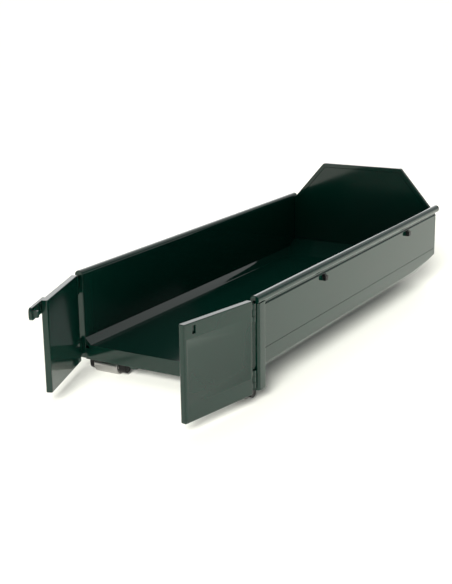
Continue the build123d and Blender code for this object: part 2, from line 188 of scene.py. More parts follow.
class Term:
    """A shader socket that takes part in Python sums. Each sum adds its Math node."""

    def __init__(self, nodes, socket):
        self.nodes = nodes
        self.socket = socket

    def sum(self, operation, first, second):
        return self.nodes.node("ShaderNodeMath", {"operation": operation}, {0: first, 1: second})

    def __add__(self, other):
        return self.sum("ADD", self, other)

    def __radd__(self, other):
        return self.sum("ADD", other, self)

    def __rsub__(self, other):
        return self.sum("SUBTRACT", other, self)

    def __rmul__(self, other):
        return self.sum("MULTIPLY", other, self)


class Nodes:
    """A node tree that is filled node by node."""

    def __init__(self, tree):
        self.tree = tree

    def node(self, kind, settings, sockets, output=0):
        """Any node: its settings first, then the values or links of its sockets."""
        made = self.tree.nodes.new(kind)
        for key, value in settings.items():
            setattr(made, key, value)
        for key, value in sockets.items():
            self.feed(made.inputs[key], value)
        return Term(self, made.outputs[output])

    def feed(self, socket, value):
        """Link a term to a socket, or set the socket's own value."""
        if isinstance(value, Term):
            self.tree.links.new(value.socket, socket)
        else:
            socket.default_value = value

    def mask(self, value, low, high):
        """0 below low, 1 above high."""
        return self.node(
            "ShaderNodeMapRange", {"interpolation_type": "SMOOTHSTEP"},
            {"Value": value, "From Min": low, "From Max": high, "To Min": 0.0, "To Max": 1.0})


class Finish(Nodes):
    """A material built of nodes around one Principled shader."""

    def __init__(self, name):
        self.material = bpy.data.materials.new(name)
        self.material.use_nodes = True
        super().__init__(self.material.node_tree)
        self.tree.nodes.clear()
        self.shader = self.tree.nodes.new("ShaderNodeBsdfPrincipled")
        output = self.tree.nodes.new("ShaderNodeOutputMaterial")
        self.tree.links.new(self.shader.outputs["BSDF"], output.inputs["Surface"])

    def set(self, **values):
        """Give the shader's sockets their values. An underscore stands for a space."""
        for key, value in values.items():
            self.feed(self.shader.inputs[key.replace("_", " ")], value)

    def place(self, scale=(1, 1, 1), shift=0):
        """Object coordinates, stretched along each axis and shifted along the floor."""
        coordinates = self.node("ShaderNodeTexCoord", {}, {}, output="Object")
        return self.node(
            "ShaderNodeMapping", {}, {"Vector": coordinates, "Location": (shift, shift, 0), "Scale": scale})

    def noise(self, place, scale, detail, roughness=0.5):
        """Noise from 0 to 1, with its scale in patches per metre."""
        return self.node(
            "ShaderNodeTexNoise", {},
            {"Vector": place, "Scale": scale, "Detail": detail, "Roughness": roughness})

    def mix(self, factor, first, second):
        """Mix of two colours."""
        return self.node("ShaderNodeMix", {"data_type": "RGBA"}, {0: factor, 6: first, 7: second}, output=2)

    def bump(self, height, distance, strength):
        """Normal raised by a height, with its distance in metres."""
        return self.node("ShaderNodeBump", {}, {"Height": height, "Distance": distance, "Strength": strength})


def shade(colour, share):
    """Colour made darker or lighter by a share, with its alpha."""
    return tuple(min(1.0, part * share) for part in colour) + (1.0,)


def gloss_paint(name, settings, shift):
    """Sprayed gloss paint: faint clouds in its colour and a fine orange peel."""
    finish = Finish(name)
    place = finish.place(shift=shift)
    clouds = finish.noise(place, scale=45.0, detail=3.0)
    peel = finish.noise(place, scale=900.0, detail=1.0)
    finish.set(
        Base_Color=finish.mix(clouds, shade(settings.paint, 0.86), shade(settings.paint, 1.14)),
        Roughness=settings.paint_roughness + 0.05 * clouds, IOR=1.5,
        Normal=finish.bump(peel, distance=0.004 * MM, strength=0.2))


def black_paint(name, settings):
    """Black fittings: satin, with a fine grain."""
    finish = Finish(name)
    grain = finish.noise(finish.place(), scale=3500.0, detail=3.0)
    rubbed = finish.noise(finish.place(), scale=260.0, detail=2.0)
    finish.set(
        Base_Color=finish.mix(rubbed, shade(settings.black, 0.7), shade(settings.black, 1.6)),
        Roughness=0.3 + 0.18 * grain, IOR=1.3,
        Normal=finish.bump(grain, distance=0.012 * MM, strength=0.5))


def turned_steel(name, settings):
    """Bright steel turned on a lathe: fine rings round the Y axis."""
    finish = Finish(name)
    rings = finish.noise(finish.place(scale=(0.02, 1, 0.02)), scale=5200.0, detail=3.0, roughness=0.7)
    stain = finish.noise(finish.place(), scale=320.0, detail=2.0)
    finish.set(
        Base_Color=finish.mix(stain, shade(settings.bright, 0.86), shade(settings.bright, 1.1)),
        Metallic=1.0, Roughness=0.22 + 0.16 * rings + 0.06 * stain,
        Normal=finish.bump(rings, distance=0.01 * MM, strength=0.6))


def burnished_steel(name, settings):
    """Dark burnished steel of pins, axles and rivets."""
    finish = Finish(name)
    wear = finish.noise(finish.place(), scale=900.0, detail=3.0)
    worn = finish.mask(wear, 0.4, 0.7)
    finish.set(
        Base_Color=finish.mix(worn, shade(settings.dark, 0.7), shade(settings.dark, 1.9)),
        Metallic=1.0, Roughness=0.28 + 0.2 * wear,
        Normal=finish.bump(wear, distance=0.008 * MM, strength=0.4))


# ---------------------------------------------------------------- shaping

def spot(along, across, up, reach):
    """Point from two coordinates of an outline and one on the axis that it is pulled along."""
    return Vector({"X": (reach, across, up), "Y": (across, reach, up), "Z": (across, up, reach)}[along])


def arc(centre, radius, start, end, steps):
    """Points of an arc, its angles in degrees."""
    turns = [radians(start + (end - start) * step / steps) for step in range(steps + 1)]
    return [(centre[0] + radius * cos(turn), centre[1] + radius * sin(turn)) for turn in turns]


def prism(bm, along, outline, low, high):
    """Closed solid: an outline filled with a face and pulled along an axis."""
    face = bm.faces.new([bm.verts.new(spot(along, across, up, low)) for across, up in outline])
    pulled = bmesh.ops.extrude_face_region(bm, geom=[face])
    far = [part for part in pulled["geom"] if isinstance(part, bmesh.types.BMVert)]
    bmesh.ops.translate(bm, verts=far, vec=spot(along, 0, 0, high - low))
    bmesh.ops.recalc_face_normals(bm, faces=bm.faces)


def block(bm, low, high):
    """Box between two corners."""
    made = bmesh.ops.create_cube(bm, size=1)["verts"]
    bmesh.ops.scale(bm, vec=high - low, verts=made)
    bmesh.ops.translate(bm, vec=(low + high) / 2, verts=made)


def mirrored(outline):
    """Outline of (reach, radius) points, continued to its mirror image across the middle."""
    return outline + [(-reach, radius) for reach, radius in reversed(outline)]


def turned(bm, along, centre, outline, steps, closed=False):
    """Outline of (reach, radius) points spun round an axis through a centre."""
    points = [bm.verts.new(centre + spot(along, radius, 0, reach)) for reach, radius in outline]
    pairs = list(zip(points, points[1:]))
    if closed:
        pairs.append((points[-1], points[0]))
    edges = [bm.edges.new(pair) for pair in pairs]
    bmesh.ops.spin(
        bm, geom=points + edges, cent=centre, axis=spot(along, 0, 0, 1), angle=2 * pi, steps=steps,
        use_merge=True)
    bmesh.ops.remove_doubles(bm, verts=bm.verts, dist=NEAR)
    bmesh.ops.recalc_face_normals(bm, faces=bm.faces)


def soften(bm, width, steps, turn=25, only=None):
    """Round the edges that turn by more than an angle in degrees, where a test allows it."""
    edges = [
        edge for edge in bm.edges
        if edge.is_manifold and edge.calc_face_angle() > radians(turn) and (only is None or only(edge))
    ]
    bmesh.ops.bevel(
        bm, geom=edges, offset=width, offset_type="OFFSET", segments=steps, profile=0.5, affect="EDGES",
        clamp_overlap=True, loop_slide=True, material=-1)


def in_plane(edge, axis, place):
    """Whether an edge lies in a plane across an axis."""
    return all(abs(vert.co[axis] - place) < NEAR * 10 for vert in edge.verts)


def level(edge, axis):
    """Whether both ends of an edge are at the same place along an axis."""
    return abs(edge.verts[0].co[axis] - edge.verts[1].co[axis]) < NEAR


def clear_of(*planes):
    """Test for edges that lie in none of the planes, each an axis and a place on it."""
    return lambda edge: not any(in_plane(edge, axis, place) for axis, place in planes)


def cad_copy(node):
    """Merged copy of a CAD node's mesh, with its flat faces whole again."""
    bm = bmesh.new()
    bm.from_mesh(frame["nodes"][node].data)
    bmesh.ops.remove_doubles(bm, verts=bm.verts, dist=NEAR)
    bmesh.ops.dissolve_limit(
        bm, angle_limit=radians(1), use_dissolve_boundaries=False, verts=bm.verts, edges=bm.edges)
    return bm


def corners(points):
    """Lowest and highest corner of some points."""
    return (Vector([min(point[axis] for point in points) for axis in (X, Y, Z)]),
            Vector([max(point[axis] for point in points) for axis in (X, Y, Z)]))


def solids(node, place=Matrix()):
    """Lowest and highest corner of each separate solid of a CAD node, seen from a turned frame."""
    bm = cad_copy(node)
    bm.transform(place.inverted())
    seen, found = set(), []
    for start in bm.verts:
        if start in seen:
            continue
        group = [start]
        seen.add(start)
        for vert in group:
            for edge in vert.link_edges:
                other = edge.other_vert(vert)
                if other not in seen:
                    seen.add(other)
                    group.append(other)
        found.append(corners([vert.co for vert in group]))
    bm.free()
    return found


def add_piece(bm, name, body, slot, *nodes):
    """Make the piece of a finished bmesh: it rides on a body and stands for its CAD nodes."""
    if not all(edge.is_manifold for edge in bm.edges):
        raise RuntimeError(f"{name} is not closed")
    for face in bm.faces:
        face.smooth = True
    mesh = bpy.data.meshes.new(name)
    bm.to_mesh(mesh)
    bm.free()
    mesh.set_sharp_from_angle(angle=SHARP)
    mesh.materials.append(bpy.data.materials[FINISH_OF_SLOT[slot]])
    piece = bpy.data.objects.new(name, mesh)
    bpy.context.scene.collection.objects.link(piece)
    piece.modifiers.new("Flat faces stay flat", "WEIGHTED_NORMAL").keep_sharp = True
    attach(piece, body)
    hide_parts(*nodes)


def leaf_frame(hand):
    """Frame of a door leaf: X from the hinge to the free edge, Y up, Z outwards, from the door's joint."""
    joint = next(joint for joint in frame["joints"] if joint["child"] == f"{hand}_door")
    swing = radians(-joint["range_deg"][0])
    along = Vector((-sin(swing), -SIDES[hand] * cos(swing), 0))
    out = Vector((-cos(swing), SIDES[hand] * sin(swing), 0))
    turned_axes = Matrix((along, (0, 0, 1), out)).transposed().to_4x4()
    return Matrix.Translation(joint["pos_m"]) @ turned_axes


# ---------------------------------------------------------------- pieces

# Roundings that are shares of a setting
BEND_SHARE = 1.4        # floor's bends, of the sheet's rounding
CREASE_SHARE = 0.12     # side walls' crease, of the sheet's
RIM_SHARE = 2           # corners of the front rim's peak, of the sheet's
HOOK_SHARE = 0.7        # rope hooks, of the fittings'

# Facets along curves
BEAD_STEPS = 30         # round a rail's bead
FILLET_STEPS = 5        # between bead and groove
SWELL_STEPS = 8         # from the groove out to the wall
CROWN_STEPS = 5         # from a rivet's edge to its top
ROUND_STEPS = 40        # round the hook bar and the axles
ROLLER_STEPS = 64       # round a roller
PIN_STEPS = 32          # round a hinge pin
RIVET_STEPS = 24        # round a rivet

# How far the middle of a small rounding lies from the end that it rounds, as a share of its size
ROUND_MIDDLE = 0.3

# Axle ends: size of the chamfer, and how far its middle stands from both faces
AXLE_CHAMFER = 0.35 * MM
AXLE_BULGE = 0.1 * MM

# Ring turned into a roller's ends: where it leaves the flat, meets its bottom, leaves the bottom and
# is back at the flat, as shares of the way from the bore to the outside
RING = (0.25, 0.32, 0.62, 0.69)

# Ends of the hinge pins: distance below the end, and radius as a share of the pin's
PIN_CROWN = ((0, 0), (0.02 * MM, 0.45), (0.08 * MM, 0.8), (0.22 * MM, 1))


class PieceOperator:
    """What the operators share."""

    bl_options = {"REGISTER", "UNDO"}


class CONTAINER_OT_finishes(PieceOperator, bpy.types.Operator):
    """Mix the paints and metals that the pieces take."""

    bl_idname = "container.finishes"
    bl_label = "Finishes"

    def execute(self, context):
        settings = context.scene.container_finish
        painted = ("tub_paint", "frame_paint", "door_paint", "underframe_paint")
        for number, slot in enumerate(painted):
            gloss_paint(FINISH_OF_SLOT[slot], settings, shift=0.37 * number)
        black_paint(FINISH_OF_SLOT["black_fittings"], settings)
        turned_steel(FINISH_OF_SLOT["bright_steel"], settings)
        burnished_steel(FINISH_OF_SLOT["dark_steel"], settings)
        return {"FINISHED"}


class CONTAINER_OT_floor_pan(PieceOperator, bpy.types.Operator):
    """Floor with its sloped strips, bent from one sheet."""

    bl_idname = "container.floor_pan"
    bl_label = "Floor Pan"

    def execute(self, context):
        edges = context.scene.container_edges
        bm = cad_copy("floor_pan")
        low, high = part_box("floor_pan")
        wall_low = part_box("left_side_wall")[0]
        rear = low.x
        joints = clear_of((X, high.x), (X, rear), (Y, wall_low.y), (Y, -wall_low.y), (Z, wall_low.z))
        soften(bm, BEND_SHARE * edges.sheet, edges.steps, turn=12, only=joints)
        soften(
            bm, edges.sheet, edges.steps, turn=40,
            only=lambda edge: (
                in_plane(edge, X, rear) and min(vert.co.z for vert in edge.verts) > low.z + NEAR))
        add_piece(bm, "tub_floor", "tub", "tub_paint", "floor_pan")
        return {"FINISHED"}


class CONTAINER_OT_side_walls(PieceOperator, bpy.types.Operator):
    """Side walls with their pressed crease."""

    bl_idname = "container.side_walls"
    bl_label = "Side Walls"

    def execute(self, context):
        edges = context.scene.container_edges
        for hand in SIDES:
            node = f"{hand}_side_wall"
            bm = cad_copy(node)
            low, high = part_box(node)
            joints = clear_of((X, low.x), (X, high.x), (Z, low.z), (Z, high.z))
            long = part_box("left_rear_post")[1].z - low.z
            soften(
                bm, CREASE_SHARE * edges.sheet, 2, turn=40,
                only=lambda edge: joints(edge) and edge.calc_length() > long and level(edge, Z))
            add_piece(bm, f"side_wall_{hand}", "tub", "tub_paint", node)
        return {"FINISHED"}


class CONTAINER_OT_top_rails(PieceOperator, bpy.types.Operator):
    """Rolled top rails: a bead, the hollow under it and a groove."""

    bl_idname = "container.top_rails"
    bl_label = "Top Rails"

    def execute(self, context):
        sizes = context.scene.container_rail
        edges = context.scene.container_edges
        wall_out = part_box("left_side_wall")[1].y
        post_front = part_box("left_rear_post")[1].x
        low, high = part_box("left_top_rail")
        radius = (high.y - low.y) / 2
        bead = (high.y - radius, high.z - radius)
        web_out = wall_out - sizes.groove
        drop = sqrt((radius + sizes.fillet) ** 2 - (web_out + sizes.fillet - bead[0]) ** 2)
        hollow = (web_out + sizes.fillet, bead[1] - drop)
        lean = atan2(-drop, hollow[0] - bead[0]) * 180 / pi
        outline = [(low.y, low.z), (low.y, bead[1])] + arc(bead, radius, 180, lean, BEAD_STEPS)[1:]
        outline += arc(hollow, sizes.fillet, 180 + lean, 180, FILLET_STEPS)[1:]
        for step in range(SWELL_STEPS + 1):
            depth = sizes.groove * cos(pi * step / (2 * SWELL_STEPS)) ** 2
            outline.append((wall_out - depth, low.z + sizes.swell * (1 - step / SWELL_STEPS)))
        behind = web_out - sizes.groove
        web = [(behind, low.z + NEAR), (behind, bead[1]), (wall_out, bead[1]), (wall_out, low.z + NEAR)]
        for hand, side in SIDES.items():
            node = f"{hand}_top_rail"
            bm = bmesh.new()
            prism(bm, "X", [(side * across, up) for across, up in outline], low.x, high.x)
            soften(bm, sizes.ends, edges.steps, turn=30, only=clear_of((Z, low.z)))
            prism(bm, "X", [(side * across, up) for across, up in web], low.x, post_front)
            add_piece(bm, f"top_rail_{hand}", "tub", "frame_paint", node)
        return {"FINISHED"}


class CONTAINER_OT_rear_posts(PieceOperator, bpy.types.Operator):
    """Rear corner posts."""

    bl_idname = "container.rear_posts"
    bl_label = "Rear Posts"

    def execute(self, context):
        edges = context.scene.container_edges
        wall_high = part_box("left_side_wall")[1]
        low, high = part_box("left_rear_post")
        outline = [
            (low.y, low.z), (high.y, low.z), (high.y, high.z), (wall_high.y, high.z),
            (wall_high.y, wall_high.z), (low.y, wall_high.z),
        ]
        for hand, side in SIDES.items():
            node = f"{hand}_rear_post"
            outer = side * high.y
            bm = bmesh.new()
            prism(bm, "X", [(side * across, up) for across, up in outline], low.x, high.x)
            soften(
                bm, edges.post, edges.steps + 1,
                only=lambda edge: in_plane(edge, Y, outer) and not level(edge, Z))
            soften(bm, edges.bar, edges.steps, only=clear_of((Z, wall_high.z), (Z, high.z)))
            add_piece(bm, f"rear_post_{hand}", "tub", "frame_paint", node)
        return {"FINISHED"}


class CONTAINER_OT_rear_sill(PieceOperator, bpy.types.Operator):
    """Plate that closes the underframe at the rear."""

    bl_idname = "container.rear_sill"
    bl_label = "Rear Sill"

    def execute(self, context):
        edges = context.scene.container_edges
        low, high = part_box("rear_sill")
        bm = bmesh.new()
        block(bm, low, high)
        soften(bm, edges.bar, edges.steps, only=clear_of((Z, high.z), (Y, low.y), (Y, high.y)))
        add_piece(bm, "sill_plate", "tub", "tub_paint", "rear_sill")
        return {"FINISHED"}


class CONTAINER_OT_front_wall(PieceOperator, bpy.types.Operator):
    """Front wall and the folded rim over it."""

    bl_idname = "container.front_wall"
    bl_label = "Front Wall and Rim"

    bend: length("Bend", "Height of the bent foot that is rounded", 6)

    def execute(self, context):
        edges = context.scene.container_edges
        low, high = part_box("front_wall")
        bm = cad_copy("front_wall")
        bend_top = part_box("left_side_wall")[0].z + self.bend
        soften(
            bm, edges.sheet, edges.steps,
            only=lambda edge: in_plane(edge, X, high.x) and max(vert.co.z for vert in edge.verts) < bend_top)
        add_piece(bm, "front_panel", "tub", "tub_paint", "front_wall")

        top_low, top_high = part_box("front_rim_top")
        side_low, side_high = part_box("front_rim_left")
        width = top_high.z - top_low.z
        slope = atan2(side_high.z - side_low.z, side_high.y - top_high.y)
        foot = side_high.y - width / sin(slope)
        outline = [
            (side_high.y, side_low.z), (top_high.y, top_high.z),
            (-top_high.y, top_high.z), (-side_high.y, side_low.z),
            (-foot, side_low.z), (-side_low.y, top_low.z),
            (side_low.y, top_low.z), (foot, side_low.z),
        ]
        bm = bmesh.new()
        prism(bm, "X", outline, top_low.x, top_high.x)
        soften(
            bm, RIM_SHARE * edges.sheet, edges.steps + 1,
            only=lambda edge: (
                edge.calc_length() > width and level(edge, Y)
                and all(abs(vert.co.z - top_high.z) < NEAR for vert in edge.verts)))
        soften(bm, edges.bar, edges.steps, only=clear_of((Z, side_low.z)))
        add_piece(
            bm, "front_rim", "tub", "frame_paint", "front_rim_top", "front_rim_left", "front_rim_right")
        return {"FINISHED"}


class CONTAINER_OT_runners(PieceOperator, bpy.types.Operator):
    """Long I-section runners with their solid front skids."""

    bl_idname = "container.runners"
    bl_label = "Runners and Skids"

    flange: length("Flange", "Flange thickness", 0.8)
    web: length("Web", "Web thickness", 0.9)
    nose: length("Nose", "Slope at the skid's front", 2.5)

    def execute(self, context):
        edges = context.scene.container_edges
        for hand in SIDES:
            node = f"{hand}_runner"
            low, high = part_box(node)
            middle = (low.y + high.y) / 2
            half, half_web = (high.y - low.y) / 2, self.web / 2
            upper, lower = high.z - self.flange, low.z + self.flange
            right = [
                (half, low.z), (half, lower), (half_web, lower),
                (half_web, upper), (half, upper), (half, high.z),
            ]
            left = [(-across, up) for across, up in reversed(right)]
            bm = bmesh.new()
            prism(bm, "X", [(middle + across, up) for across, up in right + left], low.x, high.x)
            soften(bm, edges.fitting, edges.steps, only=clear_of((Z, high.z), (X, low.x), (X, high.x)))
            add_piece(bm, f"runner_{hand}", "tub", "underframe_paint", node)

            node = f"{hand}_front_skid"
            low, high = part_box(node)
            outline = [
                (low.x, low.z), (high.x - self.nose, low.z), (high.x, low.z + self.nose),
                (high.x, high.z), (low.x, high.z),
            ]
            bm = bmesh.new()
            prism(bm, "Y", outline, low.y, high.y)
            soften(bm, edges.bar, edges.steps, only=clear_of((Z, high.z)))
            add_piece(bm, f"front_skid_{hand}", "tub", "underframe_paint", node)
        return {"FINISHED"}


class CONTAINER_OT_cross_members(PieceOperator, bpy.types.Operator):
    """Cross members between and beside the runners."""

    bl_idname = "container.cross_members"
    bl_label = "Cross Members"

    def execute(self, context):
        edges = context.scene.container_edges
        bm = bmesh.new()
        for low, high in solids("cross_members"):
            block(bm, low, high)
        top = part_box("cross_members")[1].z
        soften(bm, edges.fitting, edges.steps, only=clear_of((Z, top)))
        add_piece(bm, "cross_bars", "tub", "underframe_paint", "cross_members")
        return {"FINISHED"}


class CONTAINER_OT_hook_frame(PieceOperator, bpy.types.Operator):
    """Legs, ties and cheeks at the front, with the bar that a hook lifts by."""

    bl_idname = "container.hook_frame"
    bl_label = "Hook Frame"

    def execute(self, context):
        edges = context.scene.container_edges
        wall_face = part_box("left_hook_leg")[0].x
        leg_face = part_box("left_hook_leg")[1].x
        for hand in SIDES:
            for part, joint, width in (("leg", wall_face, edges.bar), ("cheek", leg_face, edges.fitting)):
                bm = cad_copy(f"{hand}_hook_{part}")
                soften(bm, width, edges.steps, only=clear_of((X, joint)))
                add_piece(bm, f"hook_{part}_{hand}", "tub", "underframe_paint", f"{hand}_hook_{part}")
        bm = cad_copy("hook_ties")
        soften(bm, edges.bar, edges.steps, only=clear_of((X, wall_face)))
        add_piece(bm, "hook_tie_bars", "tub", "underframe_paint", "hook_ties")

        low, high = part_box("hook_bar")
        radius = (high.z - low.z) / 2
        rounding = edges.fitting
        near, far = ROUND_MIDDLE * rounding, (1 - ROUND_MIDDLE) * rounding
        outline = [(low.y, 0)] + [
            (reach, radius - rounding + across) for reach, across in (
                (low.y, 0), (low.y + near, far), (low.y + rounding, rounding),
                (high.y - rounding, rounding), (high.y - near, far), (high.y, 0))
        ] + [(high.y, 0)]
        bm = bmesh.new()
        centre = (low + high) / 2
        centre.y = 0
        turned(bm, "Y", centre, outline, ROUND_STEPS)
        add_piece(bm, "lifting_bar", "tub", "bright_steel", "hook_bar")
        return {"FINISHED"}


class CONTAINER_OT_rollers(PieceOperator, bpy.types.Operator):
    """Turned steel rollers on their axles, in black brackets."""

    bl_idname = "container.rollers"
    bl_label = "Rollers"

    chamfer: length("Chamfer", "Roller's edge", 0.35)
    recess: length("Recess", "Depth of the ring turned into each end", 0.25)
    play: length("Play", "Between axle and bore", 0.05)
    rounding: length("Rounding", "Rounding of the roller's turned edges", 0.07)

    def execute(self, context):
        edges = context.scene.container_edges
        for hand in SIDES:
            node = f"{hand}_roller_axle"
            low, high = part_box(node)
            axle = (high.z - low.z) / 2
            half = (high.y - low.y) / 2
            end = [
                (half, 0), (half, axle - AXLE_CHAMFER), (half - AXLE_BULGE, axle - AXLE_BULGE),
                (half - AXLE_CHAMFER, axle),
            ]
            bm = bmesh.new()
            turned(bm, "Y", (low + high) / 2, mirrored(end), ROUND_STEPS)
            add_piece(bm, f"roller_axle_end_{hand}", "tub", "dark_steel", node)

            node = f"{hand}_roller"
            low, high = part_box(node)
            radius = (high.z - low.z) / 2
            half = (high.y - low.y) / 2
            bore = axle + self.play
            ring = [bore + share * (radius - bore) for share in RING]
            bottom = half - self.recess
            end = [
                (half, bore), (half, ring[0]), (bottom, ring[1]), (bottom, ring[2]), (half, ring[3]),
                (half, radius - self.chamfer), (half - self.chamfer, radius),
            ]
            bm = bmesh.new()
            turned(bm, "Y", (low + high) / 2, mirrored(end), ROLLER_STEPS, closed=True)
            soften(bm, self.rounding, 2, turn=30)
            add_piece(bm, f"steel_roller_{hand}", f"{hand}_roller", "bright_steel", node)

            node = f"{hand}_roller_bracket"
            bm = cad_copy(node)
            soften(bm, edges.fitting, edges.steps, only=clear_of((Z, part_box(node)[1].z)))
            add_piece(bm, f"bracket_{hand}", "tub", "black_fittings", node)
        return {"FINISHED"}


class CONTAINER_OT_rope_hooks(PieceOperator, bpy.types.Operator):
    """Small hooks under the rails that a cover's ropes go round."""

    bl_idname = "container.rope_hooks"
    bl_label = "Rope Hooks"

    def execute(self, context):
        edges = context.scene.container_edges
        wall_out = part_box("left_side_wall")[1].y
        for hand, side in SIDES.items():
            bm = cad_copy(f"{hand}_rope_hooks")
            soften(bm, HOOK_SHARE * edges.fitting, edges.steps, only=clear_of((Y, side * wall_out)))
            add_piece(bm, f"cover_hooks_{hand}", "tub", "black_fittings", f"{hand}_rope_hooks")
        return {"FINISHED"}


class CONTAINER_OT_hinges(PieceOperator, bpy.types.Operator):
    """Hinges of three knuckles on a pin."""

    bl_idname = "container.hinges"
    bl_label = "Hinges"

    def execute(self, context):
        edges = context.scene.container_edges
        for hand in SIDES:
            post_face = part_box("left_rear_post")[0].x
            bm = cad_copy(f"{hand}_post_knuckles")
            soften(bm, edges.fitting, edges.steps, only=clear_of((X, post_face)))
            add_piece(bm, f"hinge_post_part_{hand}", "tub", "door_paint", f"{hand}_post_knuckles")

            place = leaf_frame(hand)
            leaf = frame["nodes"][f"{hand}_door_panel"].data
            leaf_edge = min((place.inverted() @ vert.co).x for vert in leaf.vertices)
            bm = cad_copy(f"{hand}_door_knuckles")
            bm.transform(place.inverted())
            soften(bm, edges.fitting, edges.steps, only=clear_of((X, leaf_edge)))
            bm.transform(place)
            add_piece(bm, f"hinge_door_part_{hand}", f"{hand}_door", "door_paint", f"{hand}_door_knuckles")

            bm = bmesh.new()
            for low, high in solids(f"{hand}_hinge_pins"):
                centre = (low + high) / 2
                half, radius = (high.z - low.z) / 2, (high.x - low.x) / 2
                crown = [(half - drop, share * radius) for drop, share in PIN_CROWN]
                turned(bm, "Z", centre, mirrored(crown), PIN_STEPS)
            add_piece(bm, f"pins_{hand}", "tub", "dark_steel", f"{hand}_hinge_pins")
        return {"FINISHED"}


def cut(bm, parts, axis, place):
    """Cut faces along a plane across an axis."""
    normal = Vector([float(number == axis) for number in (X, Y, Z)])
    rims = {edge for face in parts for edge in face.edges}
    points = {vert for face in parts for vert in face.verts}
    bmesh.ops.bisect_plane(
        bm, geom=[*parts, *rims, *points], dist=NEAR, plane_co=normal * place, plane_no=normal)


def face_at(bm, centre, out):
    """The face round a point, whose normal points the given way."""
    facing = [face for face in bm.faces if face.normal.dot(out) > 0.9]
    return min(facing, key=lambda face: (face.calc_center_median() - centre).length)


def cut_slot(bm, low, high, sizes):
    """Rectangular slot through the leaf, above the pan."""
    across = high.x - sizes.slot_inset
    up = high.y - sizes.slot_drop
    ends = [(X, across - sizes.slot_width / 2), (X, across + sizes.slot_width / 2),
            (Y, up - sizes.slot_height / 2), (Y, up + sizes.slot_height / 2)]
    head = high.y - sizes.head
    for axis, place in ends:
        above = [face for face in bm.faces if min(vert.co.y for vert in face.verts) > head - NEAR]
        cut(bm, above, axis, place)
    rims = []
    for depth, out in ((low.z, Vector((0, 0, -1))), (high.z, Vector((0, 0, 1)))):
        face = face_at(bm, Vector((across, up, depth)), out)
        rims += list(face.edges)
        bmesh.ops.delete(bm, geom=[face], context="FACES_ONLY")
    bmesh.ops.bridge_loops(bm, edges=rims)


def press_pan(bm, low, high, sizes):
    """Recess the leaf's outer face into a pan with sloped sides."""
    left, right = low.x + sizes.margin, high.x - sizes.margin
    bottom, top = low.y + sizes.foot, high.y - sizes.head
    outer = Vector((0, 0, 1))
    for axis, place in ((Y, bottom), (Y, top), (X, left), (X, right)):
        cut(bm, list(bm.faces), axis, place)
    centre = Vector(((left + right) / 2, (bottom + top) / 2, high.z))
    pulled = bmesh.ops.extrude_discrete_faces(bm, faces=[face_at(bm, centre, outer)])["faces"][0]
    share = Vector((1 - 2 * sizes.slope / (right - left), 1 - 2 * sizes.slope_ends / (top - bottom), 1))
    verts = list(pulled.verts)
    bmesh.ops.scale(bm, vec=share, space=Matrix.Translation(-centre), verts=verts)
    bmesh.ops.translate(bm, vec=-outer * sizes.depth, verts=verts)


class CONTAINER_OT_doors(PieceOperator, bpy.types.Operator):
    """Two door leaves, each with a pressed pan. The right one has the latch's slot."""

    bl_idname = "container.doors"
    bl_label = "Doors"

    def execute(self, context):
        sizes = context.scene.container_door
        edges = context.scene.container_edges
        for hand in SIDES:
            node = f"{hand}_door_panel"
            place = leaf_frame(hand)
            low, high = corners([place.inverted() @ vert.co for vert in frame["nodes"][node].data.vertices])
            bm = bmesh.new()
            block(bm, low, high)
            soften(bm, sizes.corner, edges.steps + 1, only=lambda edge: not level(edge, Y))
            soften(bm, edges.bar, edges.steps, turn=60)
            press_pan(bm, low, high, sizes)
            if hand == "right":
                cut_slot(bm, low, high, sizes)
                soften(bm, edges.fitting, edges.steps, turn=60)
            left, right = low.x + sizes.margin - NEAR, high.x - sizes.margin + NEAR
            bottom, top = low.y + sizes.foot - NEAR, high.y - sizes.head + NEAR
            soften(
                bm, sizes.soft, edges.steps, turn=8,
                only=lambda edge: all(
                    left < vert.co.x < right and bottom < vert.co.y < top and vert.co.z > 0
                    for vert in edge.verts))
            bm.transform(place)
            bmesh.ops.recalc_face_normals(bm, faces=bm.faces)
            add_piece(bm, f"door_leaf_{hand}", f"{hand}_door", "door_paint", node)
        return {"FINISHED"}


class CONTAINER_OT_latch(PieceOperator, bpy.types.Operator):
    """Latch arm on the left door with its nub and rivets."""

    bl_idname = "container.latch"
    bl_label = "Latch"

    def execute(self, context):
        edges = context.scene.container_edges
        place = leaf_frame("left")
        bm = cad_copy("latch_arm")
        bm.transform(place.inverted())
        low, high = corners([vert.co for vert in bm.verts])
        soften(bm, edges.fitting, edges.steps, turn=35)
        for vert in bm.verts:
            vert.co = [min(max(value, least), most) for value, least, most in zip(vert.co, low, high)]
        bm.transform(place)
        add_piece(bm, "latch_bar", "left_door", "door_paint", "latch_arm")

        bm = bmesh.new()
        for low, high in solids("latch_rivets", place):
            centre = (low + high) / 2
            radius, rise = (high.x - low.x) / 2, (high.z - low.z) / 2
            outline = [(-rise, 0), (-rise, radius)]
            for step in range(1, CROWN_STEPS):
                turn = radians(90 * step / CROWN_STEPS)
                outline.append((-rise + 2 * rise * sin(turn), radius * cos(turn)))
            turned(bm, "Z", centre, outline + [(rise, 0)], RIVET_STEPS)
        bm.transform(place)
        bmesh.ops.recalc_face_normals(bm, faces=bm.faces)
        add_piece(bm, "rivets", "left_door", "dark_steel", "latch_rivets")
        return {"FINISHED"}


# ---------------------------------------------------------------- stage

FLOOR_REACH = 15                        # half the floor's side
OVERHEAD = Vector((0.12, 0.1, 0.75))    # place of the soft light
BESIDE = Vector((-0.9, -0.3, 0.5))      # where the floor's own light comes from

# Where the surroundings are brighter: near the floor, below the first height and fading out up to
# the second; then round two directions, from the first cosine and in full from the second
HORIZON = (0.13, 0.3)
WINDOW = ((0.8, 0.05, 0.6), 0.85, 0.95)
SCREEN = ((0.81, 0.47, 0.35), 0.93, 0.98)


